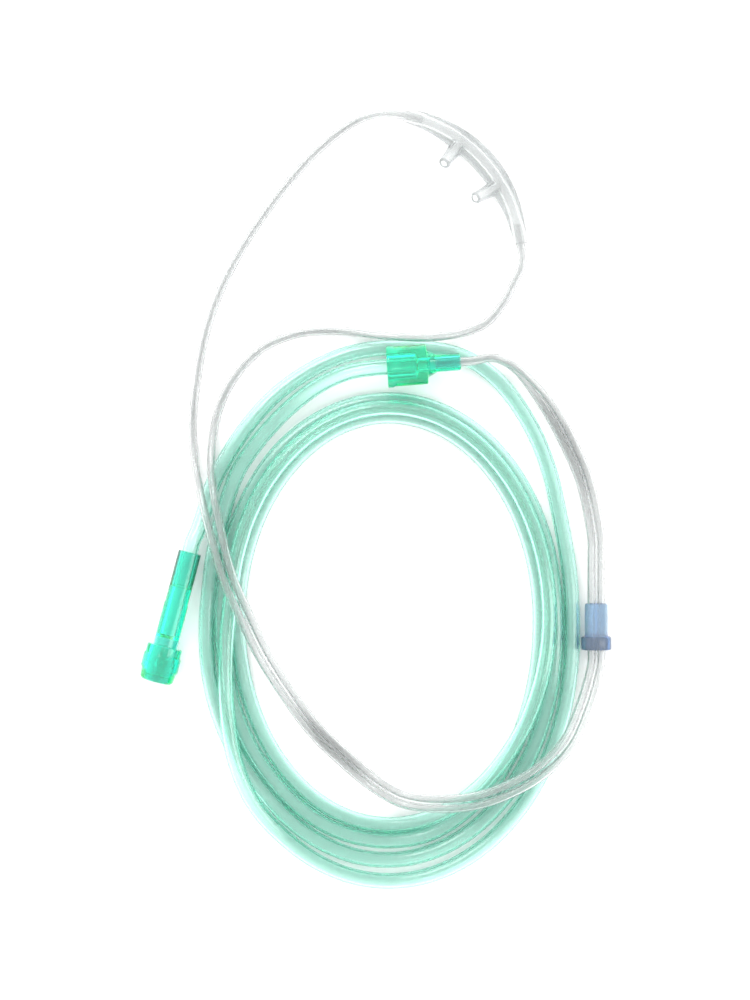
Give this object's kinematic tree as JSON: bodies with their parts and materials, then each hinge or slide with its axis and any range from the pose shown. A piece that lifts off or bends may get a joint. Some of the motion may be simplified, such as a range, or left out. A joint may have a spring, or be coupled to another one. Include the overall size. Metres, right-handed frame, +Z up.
{
  "type": "nasal oxygen cannula",
  "caption": "Nasal oxygen cannula lying coiled: prong nosepiece, thin headset tubes with a chin slide, Y connector, and a supply tube with a flared connector.",
  "frame": {"origin": "on the floor, under the middle of the box round the nosepiece, chin slide, Y connector and supply connector", "axes": "+Z up; +Y from the supply connector towards the nosepiece, along the straight headset tubes in the chin slide; +X towards the chin slide"},
  "size_m": [0.1683, 0.2795, 0.0183],
  "materials": {
    "clear_vinyl": "clear soft PVC, extruded or moulded",
    "slide_blue": "translucent light blue moulded plastic",
    "green_vinyl": "pale green translucent PVC tube",
    "green_moulded": "glossy deeper green moulded PVC"
  },
  "bodies": {
    "cannula": {"nosepiece": "clear_vinyl", "headset_tube_a": "clear_vinyl", "headset_tube_b": "clear_vinyl", "y_connector": "green_moulded", "supply_lead": "green_vinyl", "supply_coil": "green_vinyl", "supply_tail": "green_vinyl", "supply_connector": "green_moulded"},
    "chin_slide": {"chin_slide": "slide_blue"}
  },
  "joints": [
    {"name": "chin_slide_travel", "type": "slide", "parent": "cannula", "child": "chin_slide", "axis": [0, 1, 0], "range_m": [-0.0012, 0.018]}
  ]
}
